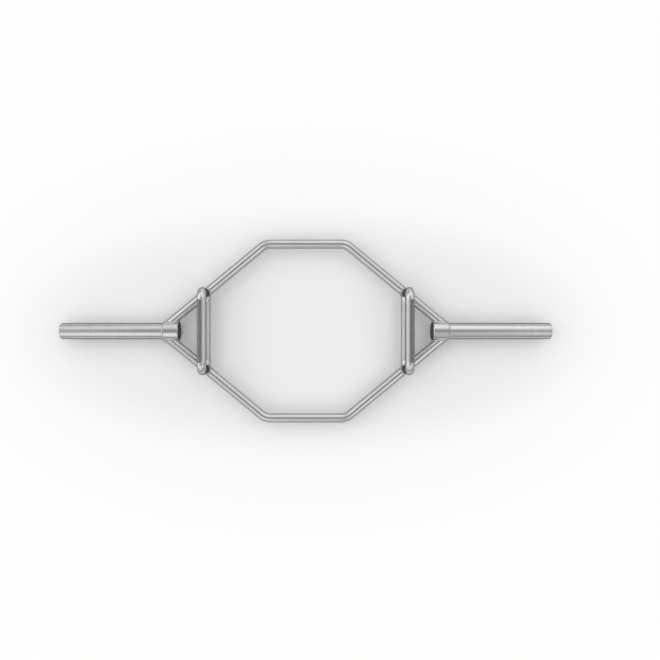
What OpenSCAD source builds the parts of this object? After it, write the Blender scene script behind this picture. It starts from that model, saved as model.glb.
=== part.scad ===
// Hex trap bar: a six-sided frame of bent round bar, standing between two plate sleeves.
// X runs along the sleeves, Y from front to rear, Z up. The origin is midway between the sleeves,
// level with the underside of the root collars, which are the lowest part of the bar.

/* [Frame] */
// Diameter of the round bar that the frame is bent from
bar_d = 28; // [25:0.5:30]
// Distance between the centre lines of the front and rear straights
frame_depth = 542; // [500:1:580]
// Distance between the two corners of a frame bar's centre line
straight_len = 252; // [200:1:300]
// Centre-line radius of the frame's bends
bend_r = 45; // [35:1:70]
// How much fuller in radius a bar is round its bends than along its straights
bend_swell = 0.04; // [0.03:0.01:0.2]

/* [Sleeves] */
// Length of the whole bar over its sleeve ends
overall_len = 1524; // [1400:1:1700]
// Outer diameter of the sleeves that the plates slide on
sleeve_d = 50; // [48:0.5:51]
// Wall of the sleeve tube
sleeve_wall = 5; // [4:0.5:8]
// Chamfer round the outer end of a sleeve
sleeve_chamfer = 2; // [1:0.5:3]
// How far a sleeve's turned spigot goes into its root collar
spigot_len = 28; // [20:1:30]
// How much smaller in radius the spigot is than the sleeve
spigot_step = 0.5; // [0.4:0.1:1]
// Thickness of the steel disc that closes the sleeve's outer end
cap_t = 6; // [4:0.5:10]
// How far the disc is set back from the sleeve's end
cap_recess = 3; // [2.5:0.5:6]

/* [Root collars] */
// Outer diameter of the collars that the arms are welded to
collar_d = 60; // [58:0.5:64]
// Distance between the inner ends of the two collars
collar_span = 789; // [760:1:850]
// How far from a collar's inner end the inner side of an arm meets it
collar_lead = 1.2; // [0.6:0.1:6]
// How far a collar runs on beyond the outer side of an arm
collar_tail = 3.5; // [2.6:0.1:16]
// Chamfer round both ends of a collar
collar_chamfer = 2; // [0.5:0.5:2.5]

/* [Collar plugs] */
// Diameter of the plug's lip
lip_d = 56; // [54:0.5:57]
// Thickness of the plug's lip
lip_t = 2; // [1.5:0.5:4]
// Length of the plug's hollow stem inside the collar
stem_len = 14; // [12:1:16]
// Wall of the stem
stem_wall = 2; // [1.5:0.5:4]
// Number of ribs round the stem that grip the collar's bore
rib_count = 3; // [2:1:3]
// Height of a rib
rib_h = 1.2; // [0.8:0.1:2]
// Width of a rib at its foot
rib_w = 2.4; // [1.5:0.1:3]

/* [Handles] */
// Diameter of the handle bars
handle_d = 28; // [25:0.5:30]
// Distance between the left and right handles, between centre lines
handle_span = 622; // [600:1:660]
// Height of the raised grips above the sleeves' axis, to the centre line
handle_rise = 100; // [60:1:140]
// Centre-line radius of the raised handles' bends
handle_bend_r = 22; // [20:1:40]
// How close to the arm's centre line a coped handle end reaches
cope_land = 5; // [4:0.5:7]

/* [Welds] */
// Width of the weld beads between the arms and the collars
arm_weld = 4.5; // [2:0.5:4.5]
// Width of the weld beads round the ends of the handles
handle_weld = 4; // [2:0.5:5]
// Width of the weld bead between a collar's end and its sleeve
sleeve_weld = 3.5; // [2:0.5:5]
// Width of the weld bead round the end disc
cap_weld = 2.5; // [1:0.5:2.5]

/* [Fits] */
// Clearance on the radius between pieces that slide into one another
fit = 0.05; // [0.02:0.01:0.15]

/* [Hidden] */
$fn = 96;

bar_r = bar_d / 2;
handle_r = handle_d / 2;
sleeve_r = sleeve_d / 2;
collar_r = collar_d / 2;

// The sleeves' axis, which every bar of the frame is level with
axis_z = collar_r;

// The frame's corner, and the way from it to where the arm's inner side meets the collar
collar_in = collar_span / 2;
corner_x = straight_len / 2;
frame_y = frame_depth / 2;
to_meeting = [collar_in + collar_lead - corner_x, frame_y - collar_r];

// The arm's centre line passes half a bar outside that meeting point, on to the sleeves' axis
arm_angle = atan2(to_meeting.y, to_meeting.x) - asin(bar_r / norm(to_meeting));
arm_len = frame_y / sin(arm_angle);
apex_x = corner_x + frame_y / tan(arm_angle);
bend_tangent = bend_r * tan(arm_angle / 2);

// The collar is as long as the arm's slanting end, and the sleeve starts beyond its shoulder
arm_seat = bar_d / sin(arm_angle);
collar_out = collar_in + collar_lead + arm_seat + collar_tail;
sleeve_root = collar_out + sleeve_weld;
sleeve_end = overall_len / 2;
sleeve_bore_r = sleeve_r - sleeve_wall;
spigot_r = sleeve_r - spigot_step;
collar_bore_r = spigot_r + fit;
spigot_end = collar_out - spigot_len;

// The disc in the sleeve's end
cap_face = sleeve_end - cap_recess;

// The plug in the collar's inner end
stem_r = collar_bore_r - fit - rib_h;
rib_pitch = stem_len / rib_count;

// A handle stands where its centre line crosses the arms'
handle_x = handle_span / 2;
leg_y = (apex_x - handle_x) * tan(arm_angle);
grip_z = axis_z + handle_rise;
leg_foot_z = axis_z + cope_land;

// How far a straight runs on inside a bend's fuller section
lap = 0.5;

// Longer than anything it cuts
cut = 200;

// A piece that is drawn for the right side, the rear, or both
module on_side(side) {
    mirror([side == "left" ? 1 : 0, 0, 0]) children();
}
module at_end(end) {
    mirror([0, end == "front" ? 1 : 0, 0]) children();
}
module at_both_ends() {
    for (end = ["rear", "front"]) at_end(end) children();
}

// A cylinder on the sleeves' axis, from x0 to x1
module on_axis(r, x0, x1) {
    translate([x0, 0, axis_z]) rotate([0, 90, 0]) cylinder(r = r, h = x1 - x0);
}

// A shape turned round the sleeves' axis, its outline given as distance along X and radius
module turned(outline) {
    translate([0, 0, axis_z]) rotate([0, 90, 0]) rotate_extrude()
        polygon([for (p = outline) [p[1], p[0]]]);
}

// The rear right arm's own frame: X from the crossing point to the corner, Y towards the middle
module in_arm_frame() {
    translate([apex_x, 0, axis_z]) rotate([0, 0, 180 - arm_angle]) children();
}

// A cylinder along the rear right arm, from the crossing point
module on_arm(r, length) {
    in_arm_frame() rotate([0, 90, 0]) cylinder(r = r, h = length);
}

// Everything on the outer side of the arm's centre line, and a land on its inner side
module beyond_arm() {
    in_arm_frame() translate([0, cope_land - cut, -cut / 2]) cube([arm_len, cut, cut]);
}

// The foot of the raised handle's leg, from the coped end up
module leg(r, height) {
    translate([handle_x, leg_y, leg_foot_z]) cylinder(r = r, h = height);
}

// The rear half of a level bar under the raised handle, as far as the arm's centre line
module level_bar(r) {
    translate([handle_x, leg_y, axis_z]) rotate([90, 0, 0]) cylinder(r = r, h = leg_y);
}

// A bend of a round bar in the XY plane, from the X axis on
module bend(centre_r, r, angle) {
    rotate_extrude(angle = angle) translate([centre_r, 0]) circle(r = r + bend_swell);
}

module frame_bar_side() {
    translate([corner_x - bend_tangent, frame_y - bend_r, axis_z]) rotate([0, 0, 90 - arm_angle])
        bend(bend_r, bar_r, arm_angle);
    difference() {
        on_arm(bar_r, arm_len - bend_tangent + lap);
        on_axis(collar_r, apex_x - cut, apex_x + cut);
    }
}

module frame_bar(end) {
    straight_end = corner_x - bend_tangent + lap;
    color("silver") at_end(end) {
        translate([0, frame_y, 0]) on_axis(bar_r, -straight_end, straight_end);
        for (side = ["left", "right"]) on_side(side) frame_bar_side();
    }
}

// A ring between a collar's chamfered outside and the given radius, within the collar or round it
module collar_ring(r) {
    turned([
        [collar_in, r],
        [collar_in, collar_r - collar_chamfer],
        [collar_in + collar_chamfer, collar_r],
        [collar_out - collar_chamfer, collar_r],
        [collar_out, collar_r - collar_chamfer],
        [collar_out, r],
    ]);
}

module root_collar(side) {
    color("silver") on_side(side) collar_ring(collar_bore_r);
}

module sleeve(side) {
    color("silver") on_side(side) turned([
        [spigot_end, sleeve_bore_r],
        [spigot_end, spigot_r],
        [sleeve_root, spigot_r],
        [sleeve_root, sleeve_r],
        [sleeve_end - sleeve_chamfer, sleeve_r],
        [sleeve_end, sleeve_r - sleeve_chamfer],
        [sleeve_end, sleeve_bore_r],
    ]);
}

module end_cap(side) {
    color("silver") on_side(side) on_axis(sleeve_bore_r - fit, cap_face - cap_t, cap_face);
}

// The lip is rounded towards the middle of the frame, and each rib slopes towards the way in
module collar_plug(side) {
    stem_in_r = stem_r - stem_wall;
    color("dimgray") on_side(side) turned([
        [collar_in - lip_t, 0],
        [collar_in - lip_t, lip_d / 2 - lip_t / 2],
        [collar_in - lip_t / 2, lip_d / 2],
        [collar_in, lip_d / 2],
        [collar_in, stem_r],
        for (i = [0 : rib_count - 1])
            let (foot = collar_in + i * rib_pitch + rib_pitch - rib_w)
            each [[foot, stem_r], [foot, stem_r + rib_h], [foot + rib_w, stem_r]],
        [collar_in + stem_len, stem_in_r],
        [collar_in, stem_in_r],
        [collar_in, 0],
    ]);
}

module raised_handle_end() {
    difference() {
        leg(handle_r, grip_z - handle_bend_r - leg_foot_z + lap);
        on_arm(bar_r, arm_len);
        level_bar(handle_r);
    }
    translate([handle_x, leg_y - handle_bend_r, grip_z - handle_bend_r]) rotate([90, 0, 90])
        bend(handle_bend_r, handle_r, 90);
}

module raised_handle(side) {
    grip_half = leg_y - handle_bend_r + lap;
    color("silver") on_side(side) {
        translate([handle_x, grip_half, grip_z]) rotate([90, 0, 0])
            cylinder(r = handle_r, h = 2 * grip_half);
        at_both_ends() raised_handle_end();
    }
}

module flush_handle(side) {
    color("silver") on_side(side) difference() {
        translate([handle_x, leg_y, axis_z]) rotate([90, 0, 0])
            cylinder(r = handle_r, h = 2 * leg_y);
        at_both_ends() {
            beyond_arm();
            on_arm(bar_r, arm_len);
        }
    }
}

// A bead fills what is near both the arm and the collar, along the collar's own length
module arm_weld_bead() {
    difference() {
        intersection() {
            on_arm(bar_r + arm_weld, arm_len / 2);
            collar_ring(collar_r + arm_weld);
        }
        on_arm(bar_r, arm_len);
    }
}

module arm_welds(side) {
    color("darkgray") on_side(side) at_both_ends() arm_weld_bead();
}

// One bead runs round the leg of the raised handle and the end of the flush handle
module handle_weld_bead() {
    difference() {
        intersection() {
            on_arm(bar_r + handle_weld, arm_len);
            union() {
                leg(handle_r + handle_weld, bar_d);
                difference() {
                    level_bar(handle_r + handle_weld);
                    beyond_arm();
                }
            }
        }
        on_arm(bar_r, arm_len);
        leg(handle_r, 2 * bar_d);
        level_bar(handle_r);
    }
}

module handle_welds(side) {
    color("darkgray") on_side(side) at_both_ends() handle_weld_bead();
}

module sleeve_weld_ring(side) {
    color("darkgray") on_side(side) turned([
        [collar_out, spigot_r],
        [collar_out, collar_r - collar_chamfer],
        [sleeve_root, sleeve_r],
        [sleeve_root, spigot_r],
    ]);
}

module cap_weld_ring(side) {
    color("darkgray") on_side(side) turned([
        [cap_face, sleeve_bore_r - cap_weld],
        [cap_face, sleeve_bore_r],
        [cap_face + cap_weld, sleeve_bore_r],
    ]);
}

frame_bar("rear");  // rear_frame_bar
frame_bar("front");  // front_frame_bar
root_collar("left");  // left_root_collar
root_collar("right");  // right_root_collar
sleeve("left");  // left_sleeve
sleeve("right");  // right_sleeve
end_cap("left");  // left_end_cap
end_cap("right");  // right_end_cap
collar_plug("left");  // left_collar_plug
collar_plug("right");  // right_collar_plug
raised_handle("left");  // left_raised_handle
raised_handle("right");  // right_raised_handle
flush_handle("left");  // left_flush_handle
flush_handle("right");  // right_flush_handle
arm_welds("left");  // left_arm_welds
arm_welds("right");  // right_arm_welds
handle_welds("left");  // left_handle_welds
handle_welds("right");  // right_handle_welds
sleeve_weld_ring("left");  // left_sleeve_weld
sleeve_weld_ring("right");  // right_sleeve_weld
cap_weld_ring("left");  // left_cap_weld
cap_weld_ring("right");  // right_cap_weld
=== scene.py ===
# Looks of the hex trap bar: satin steel bars, knurled grips, rippled weld beads and black plugs.
# Lengths are in metres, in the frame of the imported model: X along the sleeves, Y rear, Z up.
import math
import random

import bpy
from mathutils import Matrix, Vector


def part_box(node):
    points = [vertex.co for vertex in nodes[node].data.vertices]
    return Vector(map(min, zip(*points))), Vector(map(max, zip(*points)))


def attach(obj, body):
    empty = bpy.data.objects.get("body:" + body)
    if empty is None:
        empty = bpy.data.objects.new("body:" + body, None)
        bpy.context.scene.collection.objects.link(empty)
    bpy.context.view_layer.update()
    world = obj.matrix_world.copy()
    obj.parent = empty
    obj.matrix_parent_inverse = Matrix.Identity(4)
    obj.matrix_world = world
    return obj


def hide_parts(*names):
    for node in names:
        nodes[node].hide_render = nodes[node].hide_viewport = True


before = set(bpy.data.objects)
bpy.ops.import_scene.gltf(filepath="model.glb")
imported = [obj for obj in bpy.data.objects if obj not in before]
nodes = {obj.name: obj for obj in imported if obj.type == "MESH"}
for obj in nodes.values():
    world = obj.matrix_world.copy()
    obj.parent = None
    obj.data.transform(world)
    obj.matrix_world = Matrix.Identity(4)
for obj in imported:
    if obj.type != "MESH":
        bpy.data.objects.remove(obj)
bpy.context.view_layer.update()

MM = 0.001
BODY = "root"
X, Y, Z = Vector((1, 0, 0)), Vector((0, 1, 0)), Vector((0, 0, 1))
SIDES = {"right": 1, "left": -1}
ENDS = {"rear": 1, "front": -1}


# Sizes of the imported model

collar_low, collar_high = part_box("right_root_collar")
sleeve_low, sleeve_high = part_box("right_sleeve")
cap_low, cap_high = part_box("right_end_cap")
plug_low, plug_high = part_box("right_collar_plug")
flush_low, flush_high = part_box("right_flush_handle")
raised_low, raised_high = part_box("right_raised_handle")
frame_low, frame_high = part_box("rear_frame_bar")
weld_ring_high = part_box("right_sleeve_weld")[1]

axis_z = (collar_low.z + collar_high.z) / 2
collar_r = (collar_high.z - collar_low.z) / 2
collar_in, collar_out = collar_low.x, collar_high.x
sleeve_r = (sleeve_high.z - sleeve_low.z) / 2
cap_r = (cap_high.z - cap_low.z) / 2

handle_x = (flush_low.x + flush_high.x) / 2
handle_r = (flush_high.x - flush_low.x) / 2
# A bend is a hair fuller than the straights of the same bar
bend_r_out = (raised_high.x - raised_low.x) / 2
leg_y = raised_high.y - bend_r_out
grip_z = raised_high.z - bend_r_out
frame_y = frame_high.y - (frame_high.z - frame_low.z) / 2
# The frame is bent from the same stock as the handles
bar_r = handle_r

# Sizes that no box gives, as the part's source has them
CORNER_X = 126 * MM
FRAME_BEND = 45 * MM
HANDLE_BEND = 22 * MM
LEG_FOOT_RISE = 5 * MM
COLLAR_CHAMFER = 2 * MM
PLUG_STEM_WALL = 2 * MM

# How far in from the lip's edge the plug's stem lies, and how far behind the lip its hollow ends
PLUG_STEM_INSET = 4.7 * MM
PLUG_FACE = 1 * MM

# Knurled lengths, and how far a flush handle's mesh stops short of the solid's coped end
RAISED_KNURL = 188 * MM
FLUSH_KNURL = 184 * MM
COPE = 2 * MM

# Legs of the fillet welds, and how far the beads' toes sink into the bars
ARM_WELD_LEG = 3.8 * MM
RAISED_WELD_LEG = 4.4 * MM
FLUSH_WELD_LEG = 3.4 * MM
CAP_WELD_LEG = 2.3 * MM
TOE_SUNK = 0.1 * MM
# A handle's bead starts from a seam this far inside the handle, and its toe comes back out
SEAM_SUNK = 0.35 * MM
# An arm's bead stops this far short of the collar's end
END_GAP = 0.3 * MM
# How far the beads' faces crown: where the surfaces meet squarely, more where they run alike
SQUARE_CROWN = 0.4 * MM
ALIKE_CROWN = 0.8 * MM
CAP_CROWN = 0.35 * MM
SEAM_PLACES = 240

# The frame's corner, and the arm that runs from it through the handle's foot
arm_angle = math.atan2(frame_y - leg_y, handle_x - CORNER_X)
arm_out = Vector((math.cos(arm_angle), -math.sin(arm_angle), 0))
arm_across = Vector((math.sin(arm_angle), math.cos(arm_angle), 0))
bend_half = FRAME_BEND * math.tan(arm_angle / 2)
leg_foot = axis_z + LEG_FOOT_RISE


# Nodes for the finishes

class Finish:
    """Adds nodes to one tree, each call giving back the node's first output or the one named."""

    spacing = 190

    def __init__(self, tree):
        self.tree = tree
        self.column = 0

    def node(self, kind, settings=None, **inputs):
        made = self.tree.nodes.new(kind)
        made.location = (self.column * self.spacing, -(self.column % 3) * self.spacing)
        self.column += 1
        for name, value in (settings or {}).items():
            setattr(made, name, value)
        for name, value in inputs.items():
            self.feed(made, name, value)
        return made

    def feed(self, made, place, value):
        """Links or sets the input with this name or number."""
        socket = made.inputs[place]
        if isinstance(value, bpy.types.NodeSocket):
            self.tree.links.new(value, socket)
        else:
            socket.default_value = value

    def math(self, operation, *values, clamp=False):
        made = self.node("ShaderNodeMath", {"operation": operation, "use_clamp": clamp})
        for place, value in enumerate(values):
            self.feed(made, place, value)
        return made.outputs[0]

    def vector(self, operation, *values, out="Vector"):
        made = self.node("ShaderNodeVectorMath", {"operation": operation})
        for place, value in enumerate(values):
            self.feed(made, place, value)
        return made.outputs[out]

    def spread(self, value, low, high, to_low=0.0, to_high=1.0, smooth=False):
        """From the span low to high, to the span to_low to to_high, and no further."""
        kind = "SMOOTHSTEP" if smooth else "LINEAR"
        made = self.node("ShaderNodeMapRange", {"interpolation_type": kind})
        for place, number in enumerate((value, low, high, to_low, to_high)):
            self.feed(made, place, number)
        return made.outputs[0]

    def noise(self, place, scale, detail=2.0, roughness=0.5):
        made = self.node(
            "ShaderNodeTexNoise", Vector=place, Scale=scale, Detail=detail, Roughness=roughness)
        return made.outputs["Fac"]

    def blend_colour(self, amount, first, second):
        made = self.node("ShaderNodeMix", {"data_type": "RGBA"})
        for place, value in ((0, amount), (6, first), (7, second)):
            self.feed(made, place, value)
        return made.outputs[2]

    def blend_vector(self, amount, first, second):
        made = self.node("ShaderNodeMix", {"data_type": "VECTOR"})
        for place, value in ((0, amount), (4, first), (5, second)):
            self.feed(made, place, value)
        return made.outputs[1]

    def join(self, x, y, z):
        return self.node("ShaderNodeCombineXYZ", X=x, Y=y, Z=z).outputs[0]

    def parts(self, vector):
        return self.node("ShaderNodeSeparateXYZ", Vector=vector).outputs

    def place(self):
        """Where on the object a point lies, in metres."""
        return self.node("ShaderNodeTexCoord").outputs["Object"]

    def attribute(self, name, out="Fac"):
        return self.node("ShaderNodeAttribute", {"attribute_name": name}).outputs[out]


def grey(level):
    return (level, level, level, 1)


def effect(name, inputs, outputs):
    """An empty node group with the named sockets, its maker, and its way in and out."""
    group = bpy.data.node_groups.new(name, "ShaderNodeTree")
    for label, kind, value in inputs:
        socket = group.interface.new_socket(
            name=label, in_out="INPUT", socket_type="NodeSocket" + kind)
        if value is not None:
            socket.default_value = value
    for label, kind in outputs:
        group.interface.new_socket(name=label, in_out="OUTPUT", socket_type="NodeSocket" + kind)
    made = Finish(group)
    return group, made, made.node("NodeGroupInput").outputs, made.node("NodeGroupOutput")


def brushed_grain():
    """Fine lines along a bar. Place runs across, across and along the bar, in metres."""
    group, made, given, out = effect(
        "brushed grain",
        [("Place", "Vector", None), ("Line Width", "Float", 0.0004), ("Line Length", "Float", 0.02)],
        [("Lines", "Float"), ("Drift", "Float")],
    )
    across, up, along = made.parts(given["Place"])
    stretched = made.join(
        made.math("DIVIDE", across, given["Line Width"]),
        made.math("DIVIDE", up, given["Line Width"]),
        made.math("DIVIDE", along, given["Line Length"]),
    )
    made.feed(out, "Lines", made.noise(stretched, scale=1.0, detail=3.0, roughness=0.6))
    broad = made.vector("MULTIPLY", stretched, (0.06, 0.06, 0.35))
    made.feed(out, "Drift", made.noise(broad, scale=1.0))
    return group


def turned_lines():
    """Fine rings round a turned piece, from how far along or out a point lies, in metres."""
    group, made, given, out = effect(
        "turned lines",
        [("Distance", "Float", 0.0), ("Around", "Vector", None), ("Pitch", "Float", 0.0005)],
        [("Lines", "Float"), ("Drift", "Float")],
    )
    step = made.math("DIVIDE", given["Distance"], given["Pitch"])
    wobble = made.vector("MULTIPLY", given["Around"], (9.0, 9.0, 9.0))
    ring_place = made.vector("ADD", made.join(step, 0.0, 0.0), wobble)
    made.feed(out, "Lines", made.noise(ring_place, scale=1.0, detail=3.0, roughness=0.6))
    wide = made.join(made.math("MULTIPLY", step, 0.03), 0.0, 0.0)
    made.feed(out, "Drift", made.noise(made.vector("ADD", wide, wobble), scale=1.0))
    return group


def handling_marks():
    """Broad smudges from hands and racks, and a few thin scratches."""
    group, made, given, out = effect(
        "handling marks",
        [("Place", "Vector", None), ("Scratches", "Float", 0.5)],
        [("Smudges", "Float"), ("Scratched", "Float")],
    )
    place = given["Place"]
    broad = made.noise(place, scale=26.0, detail=4.0, roughness=0.55)
    made.feed(out, "Smudges", made.spread(broad, 0.35, 0.7, smooth=True))
    tangle = made.node("ShaderNodeTexNoise", Vector=place, Scale=60.0).outputs["Color"]
    bent = made.vector("ADD", place, tangle)
    long_cells = made.vector("MULTIPLY", bent, (900.0, 900.0, 60.0))
    cells = made.node(
        "ShaderNodeTexVoronoi", {"feature": "DISTANCE_TO_EDGE"}, Vector=long_cells, Scale=0.12)
    thin = made.spread(cells.outputs["Distance"], 0.0, 0.02, to_low=1.0, to_high=0.0)
    patchy = made.spread(made.noise(place, scale=45.0, detail=1.0), 0.5, 0.62, smooth=True)
    scratched = made.math("MULTIPLY", thin, patchy)
    made.feed(out, "Scratched", made.math("MULTIPLY", scratched, given["Scratches"]))
    return group


GRAIN = brushed_grain()
TURNED = turned_lines()
MARKS = handling_marks()

# Where most of a noise lies, and most of the finer lines
NOISE_SPAN = (0.3, 0.7)
LINE_SPAN = (0.25, 0.75)

# Greys, from and to. The knurl has them for its flats, and one grey for its grooves. The weld's
# skin has one grey, and how much of a valley it covers
STEEL_SHADES = (0.54, 0.58)
CAP_SHADES = (0.5, 0.57)
# Painted light on the knurl's band towards the frame's middle, and painted shade on the rest of the
# knurl
PAINTED_LIGHT_FLATS, PAINTED_LIGHT_GROOVES = (0.8, 0.86), 0.58
PAINTED_SHADE_FLATS, PAINTED_SHADE_GROOVES = (0.36, 0.3), 0.12
WELD_SHADES = (0.52, 0.64)
DRESSED_WELD_SHADES = (0.74, 0.84)
WELD_SKIN_SHADE, WELD_SKIN_COVER = 0.3, 0.6
PLASTIC_SHADES, RUBBED_PLASTIC_SHADE = (0.008, 0.014), 0.035
PAPER_SHADE = 0.91

# Roughness, from and to, what marks, knurl and valleys add to it and what rubbing takes off
BAR_ROUGHNESS = (0.15, 0.23)
TURNED_ROUGHNESS = (0.15, 0.21)
FACED_ROUGHNESS = (0.2, 0.3)
WELD_ROUGHNESS = (0.28, 0.42)
PLASTIC_ROUGHNESS = (0.4, 0.55)
SMUDGE_ROUGHNESS = 0.05
SCRATCH_ROUGHNESS = 0.12
KNURL_ROUGHNESS = 0.15
VALLEY_ROUGHNESS = 0.15
RUBBED_SMOOTHER = 0.08

# How much lighter a scratch is than the steel round it
SCRATCH_LIGHTER = 0.12
HANDLE_SCRATCH_LIGHTER = 0.1

# How much of a scratch shows on each finish
BAR_SCRATCHES = 0.5
COLLAR_SCRATCHES = 0.3
SLEEVE_SCRATCHES = 0.5
CAP_SCRATCHES = 0.8
HANDLE_SCRATCHES = 0.4

# Depth of each finish's relief, and the pitch of the lathe's lines
BRUSHED_RELIEF = 4e-6
TURNED_RELIEF = 2e-6
FACED_RELIEF = 1e-5
WELD_RELIEF = 0.2 * MM
PLASTIC_RELIEF = 0.04 * MM
TURNED_PITCH = 0.5 * MM
FACED_PITCH = 0.8 * MM


def new_material(name):
    """A material, what adds nodes to it, and its shader."""
    material = bpy.data.materials.new(name)
    material.use_nodes = True
    made = Finish(material.node_tree)
    return material, made, material.node_tree.nodes["Principled BSDF"]


def new_steel(name, edge=0.0):
    """Bare steel that darkens towards its outline, as satin plating does, more with a lower edge."""
    material, made, shader = new_material(name)
    shader.inputs["Metallic"].default_value = 1.0
    shader.inputs["Specular Tint"].default_value = grey(edge)
    return material, made, shader


def effect_node(made, group, **inputs):
    return made.node("ShaderNodeGroup", {"node_tree": group}, **inputs).outputs


def bump(made, shader, height, distance):
    relief = made.node("ShaderNodeBump", Strength=1.0, Distance=distance, Height=height)
    made.feed(shader, "Normal", relief.outputs[0])


def steel_surface(made, shader, texture, place, shades, roughness, scratches, relief):
    """Satin steel: two close shades, roughness after the lines and smudges, and a fine relief."""
    lines, drift = texture["Lines"], texture["Drift"]
    marks = effect_node(made, MARKS, Place=place, Scratches=scratches)
    scratched = marks["Scratched"]
    shade = made.math("ADD", made.math("MULTIPLY", drift, 0.7), made.math("MULTIPLY", lines, 0.3))
    mottle = made.spread(shade, *NOISE_SPAN)
    colour = made.blend_colour(mottle, grey(shades[0]), grey(shades[1]))
    scratch_grey = grey(shades[1] + SCRATCH_LIGHTER)
    made.feed(shader, "Base Color", made.blend_colour(scratched, colour, scratch_grey))
    satin = made.spread(lines, *LINE_SPAN, *roughness)
    smudged = made.math("ADD", satin, made.math("MULTIPLY", marks["Smudges"], SMUDGE_ROUGHNESS))
    scratch_rough = made.math("MULTIPLY", scratched, SCRATCH_ROUGHNESS)
    made.feed(shader, "Roughness", made.math("ADD", smudged, scratch_rough))
    bump(made, shader, made.math("SUBTRACT", lines, scratched), relief)


def frame_bar_steel():
    """Brushed along the bar, which turns at its corners from the straight to the slanting arm."""
    material, made, shader = new_steel("frame bar steel")
    place = made.place()
    mirrored = made.vector("ABSOLUTE", place)
    from_corner = made.vector("SUBTRACT", mirrored, (CORNER_X, frame_y, 0.0))
    side, rear, up = made.parts(from_corner)
    across_arm = made.vector("DOT_PRODUCT", from_corner, arm_across, out="Value")
    along_arm = made.vector("DOT_PRODUCT", from_corner, arm_out, out="Value")
    on_straight = made.join(rear, up, side)
    on_arm = made.join(across_arm, up, along_arm)
    past_bend = made.spread(side, -bend_half, bend_half, smooth=True)
    along_bar = made.blend_vector(past_bend, on_straight, on_arm)
    grain = effect_node(made, GRAIN, Place=along_bar)
    steel_surface(
        made, shader, grain, place, STEEL_SHADES, BAR_ROUGHNESS, BAR_SCRATCHES, BRUSHED_RELIEF)
    return material


def turned_steel(name, scratches):
    """Turned on a lathe about the sleeves' axis."""
    material, made, shader = new_steel(name)
    place = made.place()
    along = made.parts(place)[0]
    rings = effect_node(made, TURNED, Distance=along, Around=place, Pitch=TURNED_PITCH)
    steel_surface(
        made, shader, rings, place, STEEL_SHADES, TURNED_ROUGHNESS, scratches, TURNED_RELIEF)
    return material


def faced_steel():
    """A disc faced on a lathe: rings about the sleeves' axis."""
    material, made, shader = new_steel("end cap steel")
    place = made.place()
    from_axis = made.vector("SUBTRACT", place, (0.0, 0.0, axis_z))
    out_from_axis = made.vector("MULTIPLY", from_axis, (0.0, 1.0, 1.0))
    distance = made.vector("LENGTH", out_from_axis, out="Value")
    rings = effect_node(made, TURNED, Distance=distance, Around=place, Pitch=FACED_PITCH)
    steel_surface(
        made, shader, rings, place, CAP_SHADES, FACED_ROUGHNESS, CAP_SCRATCHES, FACED_RELIEF)
    return material


def handle_steel():
    """Bar steel, smooth at the ends. The knurl's flats carry painted shade, varied by the smudges, but
    for a band of painted light on the side towards the frame's middle; its grooves are darker still.
    """
    material, made, shader = new_steel("handle steel", edge=0.1)
    place = made.attribute("bar_place", out="Vector")
    groove = made.attribute("groove")
    cut = made.attribute("knurled")
    bright = made.attribute("worn_band")
    grain = effect_node(made, GRAIN, Place=place)
    marks = effect_node(made, MARKS, Place=place, Scratches=HANDLE_SCRATCHES)
    drift = made.spread(grain["Drift"], *NOISE_SPAN)

    def shaded(amount, shades):
        return made.blend_colour(amount, grey(shades[0]), grey(shades[1]))

    scratch_grey = grey(STEEL_SHADES[1] + HANDLE_SCRATCH_LIGHTER)
    plain = made.blend_colour(marks["Scratched"], shaded(drift, STEEL_SHADES), scratch_grey)
    # Painted light on the knurl's band, painted shade on the rest of the knurl, each with darker
    # grooves
    painted_lit_knurl = made.blend_colour(groove, shaded(drift, PAINTED_LIGHT_FLATS), grey(PAINTED_LIGHT_GROOVES))
    painted_shade_knurl_flats = shaded(marks["Smudges"], PAINTED_SHADE_FLATS)
    painted_shade_knurl = made.blend_colour(groove, painted_shade_knurl_flats, grey(PAINTED_SHADE_GROOVES))
    knurl = made.blend_colour(bright, painted_shade_knurl, painted_lit_knurl)
    made.feed(shader, "Base Color", made.blend_colour(cut, plain, knurl))

    satin = made.spread(grain["Lines"], *LINE_SPAN, *BAR_ROUGHNESS)
    smudged = made.math("ADD", satin, made.math("MULTIPLY", marks["Smudges"], SMUDGE_ROUGHNESS))
    rough = made.math("ADD", smudged, made.math("MULTIPLY", cut, KNURL_ROUGHNESS))
    in_grooves = made.math("MULTIPLY", groove, KNURL_ROUGHNESS)
    made.feed(shader, "Roughness", made.math("ADD", rough, in_grooves))
    bump(made, shader, grain["Lines"], BRUSHED_RELIEF)
    return material


def weld_metal(name, shades):
    """Laid weld: coarse grain, small spatter pits and a duller skin between the ripples."""
    material, made, shader = new_steel(name, edge=0.4)
    place = made.place()
    valley = made.attribute("valley")
    skin = made.noise(place, scale=900.0, detail=3.0, roughness=0.6)
    pits = made.node("ShaderNodeTexVoronoi", Vector=place, Scale=700.0).outputs["Distance"]
    pitted = made.spread(pits, 0.05, 0.3, to_low=1.0, to_high=0.0, smooth=True)
    laid = made.blend_colour(skin, grey(shades[0]), grey(shades[1]))
    in_valley = made.math("MULTIPLY", valley, WELD_SKIN_COVER)
    made.feed(shader, "Base Color", made.blend_colour(in_valley, laid, grey(WELD_SKIN_SHADE)))
    dull = made.spread(skin, *NOISE_SPAN, *WELD_ROUGHNESS)
    duller = made.math("MULTIPLY", valley, VALLEY_ROUGHNESS)
    made.feed(shader, "Roughness", made.math("ADD", dull, duller))
    relief = made.math("SUBTRACT", skin, made.math("MULTIPLY", pitted, 0.5))
    bump(made, shader, relief, WELD_RELIEF)
    return material


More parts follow.
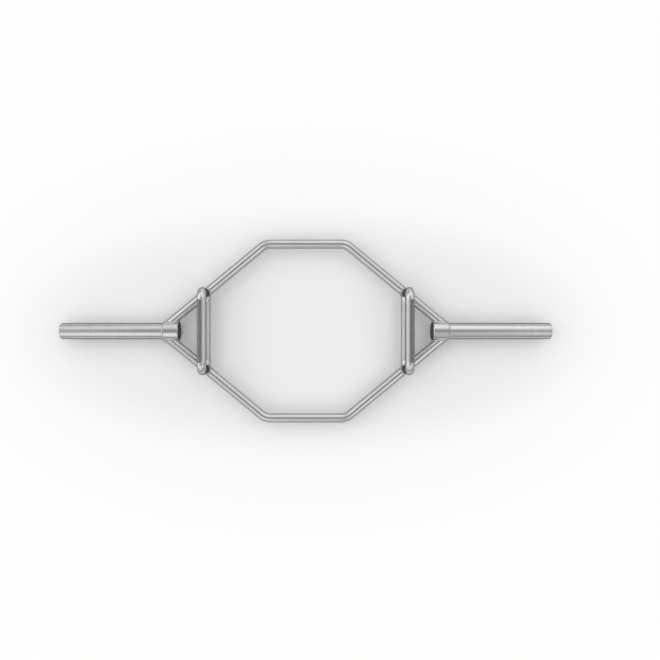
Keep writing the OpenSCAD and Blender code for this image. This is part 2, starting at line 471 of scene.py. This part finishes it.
def plug_plastic():
    """Moulded black plastic: a spark-eroded grain, dust and a rubbed edge."""
    material, made, shader = new_material("collar plug plastic")
    shader.inputs["Specular IOR Level"].default_value = 0.25
    place = made.place()
    grain = made.noise(place, scale=1800.0)
    dust = made.noise(place, scale=90.0, detail=4.0, roughness=0.6)
    dusty = made.spread(dust, 0.45, 0.75, smooth=True)
    rubbed = made.attribute("edge")
    shade = made.blend_colour(dusty, grey(PLASTIC_SHADES[0]), grey(PLASTIC_SHADES[1]))
    half_rubbed = made.math("MULTIPLY", rubbed, 0.5)
    rubbed_shade = grey(RUBBED_PLASTIC_SHADE)
    made.feed(shader, "Base Color", made.blend_colour(half_rubbed, shade, rubbed_shade))
    dull = made.spread(grain, *NOISE_SPAN, *PLASTIC_ROUGHNESS)
    smoothed = made.math("MULTIPLY", rubbed, RUBBED_SMOOTHER)
    made.feed(shader, "Roughness", made.math("SUBTRACT", dull, smoothed))
    bump(made, shader, grain, PLASTIC_RELIEF)
    return material


# Mesh pieces

def add_piece(name, points, faces, material, replaced, values, flat=(), places=None):
    """A mesh piece that rides on the bar and stands for the CAD nodes named."""
    mesh = bpy.data.meshes.new(name)
    mesh.from_pydata(points, [], faces)
    for label, numbers in values.items():
        mesh.attributes.new(label, "FLOAT", "POINT").data.foreach_set("value", numbers)
    if places:
        flattened = [number for place in places for number in place]
        layer = mesh.attributes.new("bar_place", "FLOAT_VECTOR", "POINT")
        layer.data.foreach_set("vector", flattened)
    smooth = [True] * len(faces)
    for face in flat:
        smooth[face] = False
    mesh.polygons.foreach_set("use_smooth", smooth)
    mesh.materials.append(material)
    mesh.update()
    piece = bpy.data.objects.new(name, mesh)
    bpy.context.scene.collection.objects.link(piece)
    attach(piece, BODY)
    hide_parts(*replaced)


def ease(share):
    """From 0 to 1 and level at both ends."""
    share = min(1.0, max(0.0, share))
    return share * share * (3 - 2 * share)


class Bar:
    """A handle's round bar, built ring by ring along its centre line, with a knurled stretch."""

    around = 48
    bend_steps = 14
    root_depth = 0.45 * MM
    flat_share = 0.45
    run_out = 0.5 * MM
    groove_slant = math.radians(30)
    # The knurl's band of painted light, from the bar's middle line, 0, to its inner edge, 1
    band_from, band_rise = -0.25, 0.7
    band_to, band_fall = 0.95, 0.25

    def __init__(self, radius, outer):
        """outer is 1 where the side away from the middle of the frame lies towards +X, or -1."""
        self.r, self.outer = radius, outer
        self.points, self.faces, self.flat = [], [], []
        self.groove, self.knurled, self.worn_band, self.places = [], [], [], []
        self.last = None

    def point(self, centre, out, turn, radius, along, groove=0.0, knurled=0.0):
        angle = turn * math.tau / self.around
        across, up = radius * math.cos(angle), radius * math.sin(angle)
        self.points.append(centre + X * across + out * up)
        self.places.append((across, up, along))
        self.groove.append(groove)
        self.knurled.append(knurled)
        # Painted light: the band lies on the side towards the frame's middle, as if lit from there
        inward = -self.outer * across / self.r
        band = ease((inward - self.band_from) / self.band_rise)
        self.worn_band.append(band * ease((self.band_to - inward) / self.band_fall))
        return len(self.points) - 1

    def face(self, *corners, flat=False):
        if flat:
            self.flat.append(len(self.faces))
        self.faces.append(corners)

    def ring(self, centre, out, radius, along, shift=0.0, groove=0.0, knurled=0.0):
        turns = [i + shift for i in range(self.around)]
        return [self.point(centre, out, turn, radius, along, groove, knurled) for turn in turns]

    def begin(self, ring):
        """Closes the bar's first end."""
        self.face(*reversed(ring))
        self.last = ring

    def link(self, ring):
        """Joins a ring to the one before it."""
        for i in range(self.around):
            j = (i + 1) % self.around
            self.face(self.last[i], self.last[j], ring[j], ring[i])
        self.last = ring

    def end(self):
        """Closes the bar's last end."""
        self.face(*self.last)

    def knurl(self, start, direction, out, length, along):
        """Diamonds between two crossing sets of grooves, each diamond a pyramid with a flat top."""
        n, root = self.around, self.r - self.root_depth
        rows = 2 * round(length * math.tan(self.groove_slant) / (math.pi * self.r / n) / 2)
        pitch = length / rows
        crossings = []
        for row in range(rows + 1):
            here = start + direction * (row * pitch)
            crossings.append(
                self.ring(here, out, root, along + row * pitch, (row % 2) / 2, 1.0, 1.0))
        self.link(crossings[0])
        for row in range(rows + 1):
            here = start + direction * (row * pitch)
            for i in range(n):
                k = (i + row % 2) % n
                left, right = crossings[row][i], crossings[row][(i + 1) % n]
                if row == 0:
                    self.face(left, right, crossings[1][k])
                    continue
                if row == rows:
                    self.face(crossings[row - 1][k], right, left)
                    continue
                middle = i + (row % 2) / 2 + 0.5
                top = []
                for u, v in ((0, -1), (0.5, 0), (0, 1), (-0.5, 0)):
                    centre = here + direction * (v * pitch * self.flat_share)
                    reach = along + (row + v * self.flat_share) * pitch
                    turn = middle + u * self.flat_share
                    top.append(self.point(centre, out, turn, self.r, reach, 0.0, 1.0))
                self.face(*top, flat=True)
                corners = (crossings[row - 1][k], right, crossings[row + 1][k], left)
                for a in range(4):
                    b = (a + 1) % 4
                    self.face(corners[a], corners[b], top[b], top[a], flat=True)
        self.last = crossings[rows]

    def grip(self, start, direction, out, plain, length, along):
        """A straight with a knurled middle: plain, run-out, knurl, run-out, plain."""
        self.link(self.ring(start + direction * plain, out, self.r, along + plain))
        first = plain + self.run_out
        self.knurl(start + direction * first, direction, out, length, along + first)
        last = first + length + self.run_out
        self.link(self.ring(start + direction * last, out, self.r, along + last))
        self.link(self.ring(start + direction * (last + plain), out, self.r, along + last + plain))

    def bend(self, middle, start, end, along, first=0):
        """A quarter turn about the middle, from one direction to another."""
        for step in range(first, self.bend_steps + 1):
            angle = step / self.bend_steps * math.pi / 2
            out = start * math.cos(angle) + end * math.sin(angle)
            fuller = (bend_r_out - self.r) * math.sin(math.pi * step / self.bend_steps)
            reach = along + angle * HANDLE_BEND
            self.link(self.ring(middle + out * HANDLE_BEND, out, self.r + fuller, reach))

    def make(self, name, material, node):
        values = {"groove": self.groove, "knurled": self.knurled, "worn_band": self.worn_band}
        add_piece(name, self.points, self.faces, material, [node], values,
                  self.flat, self.places)


def raised_handle(side_name, material):
    """Up the rear leg, over the grip and down the front leg."""
    sign = SIDES[side_name]
    bar = Bar(handle_r, sign)
    foot = Vector((sign * handle_x, leg_y, leg_foot))
    middle = Vector((sign * handle_x, leg_y - HANDLE_BEND, grip_z - HANDLE_BEND))
    leg_length = grip_z - HANDLE_BEND - leg_foot
    bend_length = HANDLE_BEND * math.pi / 2
    straight = 2 * (leg_y - HANDLE_BEND)
    plain = (straight - RAISED_KNURL) / 2 - Bar.run_out

    bar.begin(bar.ring(foot, Y, handle_r, 0.0))
    bar.bend(middle, Y, Z, leg_length)
    along = leg_length + bend_length
    bar.grip(middle + Z * HANDLE_BEND, -Y, Z, plain, RAISED_KNURL, along)
    middle.y = -middle.y
    along += straight
    bar.bend(middle, Z, -Y, along, first=1)
    foot.y = -foot.y
    bar.link(bar.ring(foot, -Y, handle_r, along + bend_length + leg_length))
    bar.end()
    bar.make(side_name + "_raised_handle_bar", material, side_name + "_raised_handle")


def flush_handle(side_name, material):
    """A level bar between the arms, its coped ends inside the weld beads."""
    sign = SIDES[side_name]
    bar = Bar(handle_r, sign)
    half = (flush_high.y - flush_low.y) / 2 - COPE
    here = Vector((sign * handle_x, half, axis_z))
    plain = half - FLUSH_KNURL / 2 - Bar.run_out
    bar.begin(bar.ring(here, Z, handle_r, 0.0))
    bar.grip(here, -Y, Z, plain, FLUSH_KNURL, 0.0)
    bar.end()
    bar.make(side_name + "_flush_handle_bar", material, side_name + "_flush_handle")


class Beads:
    """Fillet welds of overlapping ripples, each laid along a closed seam between two surfaces."""

    face_points = 10
    ripple = 2.1 * MM
    fewest_ripples = 8
    steps = 6
    depth = 0.13
    # How far a ripple's middle runs ahead of its toes, in ripples
    lead = 0.45
    # How far behind the corner a bead's hidden edge lies
    behind = 1.5 * MM

    def __init__(self, seed):
        self.chance = random.Random(seed)
        self.points, self.faces, self.valley = [], [], []

    def lay(self, seam):
        """seam is a closed list of (corner, toe on one side, toe on the other, outward, crown)."""
        lengths = [(seam[i][0] - seam[i - 1][0]).length for i in range(len(seam))]
        total = sum(lengths)
        ripples = max(self.fewest_ripples, round(total / self.ripple))
        count = ripples * self.steps
        draw = self.chance.uniform
        waves = [(self.chance.randint(2, 9), draw(0, math.tau), draw(0.01, 0.03)) for _ in range(4)]
        uneven = [draw(0.85, 1.1) for _ in range(ripples)]

        laid, done, spot = [], 0.0, 0
        for k in range(count):
            target = total * k / count
            while done + lengths[(spot + 1) % len(seam)] < target:
                spot += 1
                done += lengths[spot % len(seam)]
            *places, crown = seam[spot % len(seam)]
            *next_places, next_crown = seam[(spot + 1) % len(seam)]
            t = (target - done) / max(lengths[(spot + 1) % len(seam)], 1e-9)
            between = [place.lerp(beyond, t) for place, beyond in zip(places, next_places)]
            laid.append((*between, crown + (next_crown - crown) * t))

        base, across = len(self.points), self.face_points + 1
        for k, (corner, toe, other_toe, outward, crown) in enumerate(laid):
            turn = math.tau * k / count
            swell = 1 + sum(size * math.sin(times * turn + start) for times, start, size in waves)
            for j in range(self.face_points):
                share = j / (self.face_points - 1)
                bow = math.sin(math.pi * share)
                phase = (k / self.steps - self.lead * bow) % ripples
                dome = (1 - (2 * (phase % 1.0) - 1) ** 2) ** 0.5
                size = swell * (1 - self.depth + self.depth * dome * uneven[int(phase) % ripples])
                face = toe.lerp(other_toe, share) + outward * (crown * bow)
                self.points.append(corner + (face - corner) * size)
                self.valley.append(1 - dome)
            self.points.append(corner - outward * self.behind)
            self.valley.append(0.0)

        corner, toe, other_toe, outward, crown = laid[0]
        faces_out = (other_toe - toe).cross(laid[1][0] - corner).dot(outward) > 0
        for k in range(count):
            here, beyond = base + k * across, base + (k + 1) % count * across
            for j in range(across):
                m = (j + 1) % across
                quad = (here + j, here + m, beyond + m, beyond + j)
                self.faces.append(quad if faces_out else tuple(reversed(quad)))

    def make(self, name, material, node):
        values = {"valley": self.valley}
        add_piece(name, self.points, self.faces, material, [node], values)


def onto_bar(point, place, way, radius):
    """The point moved straight in or out to a round bar's surface."""
    from_axis = point - place
    from_axis -= way * from_axis.dot(way)
    return point + from_axis.normalized() * (radius - from_axis.length)


def joint_seam(main, branch, leg, toe_out=0.0):
    """Where one round bar, the branch, meets another. Each bar is (place on its axis, its way, radius).

    leg is how far the bead reaches along each bar, and toe_out how far off the branch its toe is.
    """
    place, way, radius = main
    end, end_way, end_radius = branch
    across = end_way.orthogonal().normalized()
    other = end_way.cross(across)
    rise = end_way - way * end_way.dot(way)
    seam = []
    for i in range(SEAM_PLACES):
        angle = math.tau * i / SEAM_PLACES
        out = across * math.cos(angle) + other * math.sin(angle)
        start = end + out * end_radius - place
        start -= way * start.dot(way)
        a, b, c = rise.dot(rise), start.dot(rise), start.dot(start) - radius ** 2
        reach = (-b + math.sqrt(max(b * b - a * c, 0.0))) / a
        corner = end + out * end_radius + end_way * reach
        main_out = (start + rise * reach).normalized()
        toe = corner + (out - main_out * out.dot(main_out)).normalized() * leg
        other_toe = corner + (main_out - out * main_out.dot(out)).normalized() * leg
        toe = onto_bar(toe, place, way, radius - TOE_SUNK)
        other_toe = onto_bar(other_toe, end, end_way, end_radius + toe_out - TOE_SUNK)
        crown = SQUARE_CROWN + ALIKE_CROWN * max(0.0, main_out.dot(out))
        seam.append((corner, toe, other_toe, (main_out + out).normalized(), crown))
    return seam


def on_collar(point, sign):
    """The point kept on the collar's own length and, at its inner end, down on the chamfer."""
    x = max(sign * point.x, collar_in + END_GAP)
    r = math.hypot(point.y, point.z - axis_z)
    most = collar_r - max(0.0, COLLAR_CHAMFER - (x - collar_in))
    shrink = min(1.0, most / r)
    return Vector((sign * x, point.y * shrink, axis_z + (point.z - axis_z) * shrink))


def arm_weld_beads(side_name, material):
    """Where the rear and front arms meet the collar."""
    sign = SIDES[side_name]
    beads = Beads(seed=11 + sign)
    collar = (Vector((0, 0, axis_z)), X, collar_r)
    for end in ENDS.values():
        place = Vector((sign * handle_x, end * leg_y, axis_z))
        way = Vector((-sign * arm_out.x, -end * arm_out.y, 0))
        seam = joint_seam(collar, (place, way, bar_r), ARM_WELD_LEG)
        beads.lay([(corner, on_collar(toe, sign), *rest) for corner, toe, *rest in seam])
    beads.make(side_name + "_arm_weld_beads", material, side_name + "_arm_welds")


def handle_weld_beads(side_name, material):
    """Round the foot of each leg, and round each end of the flush handle."""
    sign = SIDES[side_name]
    beads = Beads(seed=31 + sign)
    slim = handle_r - SEAM_SUNK
    for end in ENDS.values():
        foot = Vector((sign * handle_x, end * leg_y, axis_z))
        arm = (foot, Vector((sign * arm_out.x, end * arm_out.y, 0)), bar_r)
        beads.lay(joint_seam(arm, (foot, Z.copy(), slim), RAISED_WELD_LEG, SEAM_SUNK))
        beads.lay(joint_seam(arm, (foot, Y * -end, slim), FLUSH_WELD_LEG, SEAM_SUNK))
    beads.make(side_name + "_handle_weld_beads", material, side_name + "_handle_welds")


def circle(x, radius):
    """A closed seam's places about the sleeves' axis."""
    turns = [math.tau * i / SEAM_PLACES for i in range(SEAM_PLACES)]
    return [Vector((x, radius * math.cos(turn), axis_z + radius * math.sin(turn))) for turn in turns]


def sleeve_weld_bead(side_name, material):
    """Dressed to a plain slope from the collar's shoulder down to the sleeve, its toe a little wavy."""
    sign = SIDES[side_name]
    chance = random.Random(51 + sign)
    around = 192
    # How much of a wave along the sleeve goes outward too
    lift = 0.25
    waves = [(times, chance.uniform(0, math.tau), chance.uniform(0.04, 0.12) * MM)
             for times in (5, 9, 14, 23)]
    sunk = sleeve_r - 0.6 * MM
    top = weld_ring_high.z - axis_z
    toe_x = weld_ring_high.x
    # Along the sleeve, out from its axis, and the share of the waves
    profile = (
        (collar_out - 0.3 * MM, sunk, 0.0),
        (collar_out - 0.3 * MM, top - 0.9 * MM, 0.0),
        (collar_out + 0.15 * MM, top - 0.35 * MM, 0.3),
        (collar_out + 0.7 * MM, top - 0.5 * MM, 0.5),
        (toe_x - 1.4 * MM, sleeve_r + 1.2 * MM, 1.0),
        (toe_x - 0.7 * MM, sleeve_r + 0.5 * MM, 1.0),
        (toe_x - 0.25 * MM, sleeve_r + 0.05 * MM, 0.6),
        (toe_x - 0.4 * MM, sunk, 0.0),
    )
    points, faces, valley = [], [], []
    for i in range(around):
        turn = math.tau * i / around
        wave = sum(size * math.sin(times * turn + start) for times, start, size in waves)
        for x, r, share in profile:
            out = r + lift * wave * share
            points.append((sign * (x + wave * share), out * math.cos(turn),
                           axis_z + out * math.sin(turn)))
            valley.append(0.1 * (1 - share))
    for i in range(around):
        here, beyond = i * len(profile), (i + 1) % around * len(profile)
        for k in range(len(profile)):
            m = (k + 1) % len(profile)
            quad = (here + k, here + m, beyond + m, beyond + k)
            faces.append(quad if sign < 0 else tuple(reversed(quad)))
    add_piece(side_name + "_sleeve_weld_bead", points, faces, material,
              [side_name + "_sleeve_weld"], {"valley": valley})


def cap_weld_bead(side_name, material):
    """In the corner between the end disc and the sleeve's bore."""
    sign = SIDES[side_name]
    beads = Beads(seed=71 + sign)
    corners = circle(sign * cap_high.x, cap_r)
    on_disc = circle(sign * cap_high.x, cap_r - CAP_WELD_LEG)
    on_bore = circle(sign * (cap_high.x + CAP_WELD_LEG), cap_r)
    middle = Vector((sign * cap_high.x, 0, axis_z))
    seam = []
    for corner, toe, other_toe in zip(corners, on_disc, on_bore):
        outward = (X * sign + (middle - corner).normalized()).normalized()
        seam.append((corner, toe, other_toe, outward, CAP_CROWN))
    beads.lay(seam)
    beads.make(side_name + "_cap_weld_bead", material, side_name + "_cap_weld")


def collar_plug(side_name, material):
    """A lip with a rounded edge and a slightly domed face, on a hollow stem."""
    sign = SIDES[side_name]
    around, round_steps = 96, 8
    lip_r = (plug_high.z - plug_low.z) / 2
    face_x, seat_x, stem_end = plug_low.x, collar_in, plug_high.x
    stem_r = lip_r - PLUG_STEM_INSET
    bore_r = stem_r - PLUG_STEM_WALL
    bore_end = seat_x + PLUG_FACE
    round_r = (seat_x - face_x) * 0.7

    # Along the axis, out from it, and how rubbed it is there
    outline = [(face_x + 0.02 * MM, lip_r * 0.35, 0.0), (face_x + 0.12 * MM, lip_r * 0.7, 0.0)]
    for step in range(round_steps + 1):
        angle = step / round_steps * math.pi / 2
        x = face_x + 0.2 * MM + round_r * (1 - math.cos(angle))
        outline.append((x, lip_r - round_r + round_r * math.sin(angle), math.sin(2 * angle)))
    outline += [
        (seat_x, lip_r, 0.3),
        (seat_x, stem_r, 0.0),
        (stem_end, stem_r, 0.0),
        (stem_end, bore_r, 0.0),
        (bore_end, bore_r, 0.0),
        (bore_end, bore_r * 0.5, 0.0),
    ]
    points, faces, edge = [(sign * face_x, 0, axis_z)], [], [0.0]
    for x, r, rub in outline:
        for i in range(around):
            angle = math.tau * i / around
            points.append((sign * x, r * math.cos(angle), axis_z + r * math.sin(angle)))
            edge.append(rub)
    points.append((sign * bore_end, 0, axis_z))
    edge.append(0.0)
    last = 1 + (len(outline) - 1) * around
    for i in range(around):
        j = (i + 1) % around
        faces.append((0, 1 + j, 1 + i))
        for here in range(1, last, around):
            beyond = here + around
            faces.append((here + i, here + j, beyond + j, beyond + i))
        faces.append((last + i, last + j, len(points) - 1))
    if sign < 0:
        faces = [tuple(reversed(face)) for face in faces]
    add_piece(side_name + "_plug", points, faces, material,
              [side_name + "_collar_plug"], {"edge": edge})


# The bar

FRAME_STEEL = frame_bar_steel()
COLLAR_STEEL = turned_steel("collar steel", COLLAR_SCRATCHES)
SLEEVE_STEEL = turned_steel("sleeve steel", SLEEVE_SCRATCHES)
CAP_STEEL = faced_steel()
HANDLE_STEEL = handle_steel()
WELD = weld_metal("weld metal", WELD_SHADES)
DRESSED_WELD = weld_metal("dressed weld metal", DRESSED_WELD_SHADES)
PLASTIC = plug_plastic()


def dress(node, material):
    """Gives a carried-over CAD node its finish."""
    piece = nodes[node]
    piece.data.materials.clear()
    piece.data.materials.append(material)


for end_name in ENDS:
    dress(end_name + "_frame_bar", FRAME_STEEL)
for side_name in SIDES:
    dress(side_name + "_root_collar", COLLAR_STEEL)
    dress(side_name + "_sleeve", SLEEVE_STEEL)
    dress(side_name + "_end_cap", CAP_STEEL)
    raised_handle(side_name, HANDLE_STEEL)
    flush_handle(side_name, HANDLE_STEEL)
    collar_plug(side_name, PLASTIC)
    arm_weld_beads(side_name, WELD)
    handle_weld_beads(side_name, WELD)
    sleeve_weld_bead(side_name, DRESSED_WELD)
    cap_weld_bead(side_name, WELD)


# Floor, light and camera

FLOOR_HALF = 12.0

# Where the paper runs out to white: the share of a length along X that counts, the oval's
# radius where that starts and where it is done, and how much whiter it is from there on
WHITER_OUTSIDE = ((0.41, 0.27, 0.42, 0.6), (0.57, 0.36, 0.8, 0.34))

# The room's walls at the horizon, and above the height given as a sine
WALL_AT_HORIZON, WALL_ABOVE, WALL_HEIGHT = 0.12, 0.7, 0.36

# Parts of the room, in degrees: bearing from X towards Y, height, full out to, gone by, strength
DIM_OVERHEAD = (90, 88, 15, 18, 0.47)
PANELS = {
    "rear": (92, 31, 25, 30, 0.3),
    "rear left": (153, 31, 25, 30, 0.46),
    "rear left, high": (137, 42, 8, 22, 0.3),
    "left": (184, 6, 30, 37, 0.8),
    "front left": (240, 35, 26, 31, 0.28),
    "front left, high": (248, 44, 9, 18, 0.42),
    "front right": (-43, 43, 4, 20, 0.9),
    "rear right": (50, 7, 30, 65, 0.44),
    "rear right, high": (64, 50, 5, 14, 0.15),
}


def floor_material():
    """Pale paper that runs out to white away from the bar, first quickly and then slowly."""
    material, made, shader = new_material("pale floor")
    made.tree.nodes.remove(shader)
    place = made.place()

    def outside(width_share, inner, outer, amount):
        """Nothing inside an oval about the bar, rising to the amount outside a larger one."""
        oval = made.vector("MULTIPLY", place, (width_share, 1.0, 0.0))
        away = made.vector("LENGTH", oval, out="Value")
        return made.spread(away, inner, outer, to_high=amount, smooth=True)

    whiter = made.math("ADD", *[outside(*oval) for oval in WHITER_OUTSIDE])
    paper = made.node("ShaderNodeBsdfDiffuse", Color=grey(PAPER_SHADE))
    glow = made.node("ShaderNodeEmission", Color=grey(1.0), Strength=1.0)
    ray = made.node("ShaderNodeLightPath").outputs
    seen = made.math("ADD", ray["Is Camera Ray"], ray["Is Glossy Ray"])
    seen = made.math("ADD", seen, ray["Is Transmission Ray"], clamp=True)
    lit = made.node("ShaderNodeMixShader")
    made.feed(lit, 0, made.math("MULTIPLY", seen, whiter))
    made.feed(lit, 1, paper.outputs[0])
    made.feed(lit, 2, glow.outputs[0])
    made.feed(made.tree.nodes["Material Output"], "Surface", lit.outputs[0])
    return material


def floor():
    half = FLOOR_HALF
    corners = [(-half, -half, 0), (half, -half, 0), (half, half, 0), (-half, half, 0)]
    mesh = bpy.data.meshes.new("floor")
    mesh.from_pydata(corners, [], [(0, 1, 2, 3)])
    mesh.materials.append(floor_material())
    plane = bpy.data.objects.new("floor", mesh)
    bpy.context.scene.collection.objects.link(plane)


def studio_light():
    """A pale room, dim towards its floor line and straight overhead, with soft panels round it."""
    world = bpy.data.worlds.new("studio")
    world.use_nodes = True
    bpy.context.scene.world = world
    made = Finish(world.node_tree)
    way = made.vector("NORMALIZE", made.node("ShaderNodeTexCoord").outputs["Generated"])

    def patch(bearing, height, inner, outer, strength):
        """The strength inside the inner angle round a direction, and nothing outside the outer one."""
        bearing, height = math.radians(bearing), math.radians(height)
        level = math.cos(height)
        centre = (level * math.cos(bearing), level * math.sin(bearing), math.sin(height))
        facing = made.vector("DOT_PRODUCT", way, centre, out="Value")
        edges = [math.cos(math.radians(angle)) for angle in (outer, inner)]
        return made.spread(facing, *edges, to_high=strength, smooth=True)

    rise = made.parts(way)[2]
    walls = made.spread(rise, 0.0, WALL_HEIGHT, WALL_AT_HORIZON, WALL_ABOVE, smooth=True)
    total = made.math("MULTIPLY", walls, made.math("SUBTRACT", 1.0, patch(*DIM_OVERHEAD)))
    for panel in PANELS.values():
        total = made.math("ADD", total, patch(*panel))
    made.feed(made.tree.nodes["Background"], "Color", total)


def camera():
    """Straight above the middle of the bar. The shifts put the bar where the photograph frames it."""
    height = 2.22
    image_side = 660
    middle_px = (305.75, 331.1)
    lens = bpy.data.cameras.new("camera")
    lens.sensor_width = 36.0
    lens.lens = 38.8
    lens.shift_x = (image_side / 2 - middle_px[0]) / image_side
    lens.shift_y = (middle_px[1] - image_side / 2) / image_side
    holder = bpy.data.objects.new("camera", lens)
    holder.location = (0, 0, axis_z + height)
    bpy.context.scene.collection.objects.link(holder)
    bpy.context.scene.camera = holder


floor()
studio_light()
camera()
bpy.context.scene.view_settings.view_transform = "Standard"
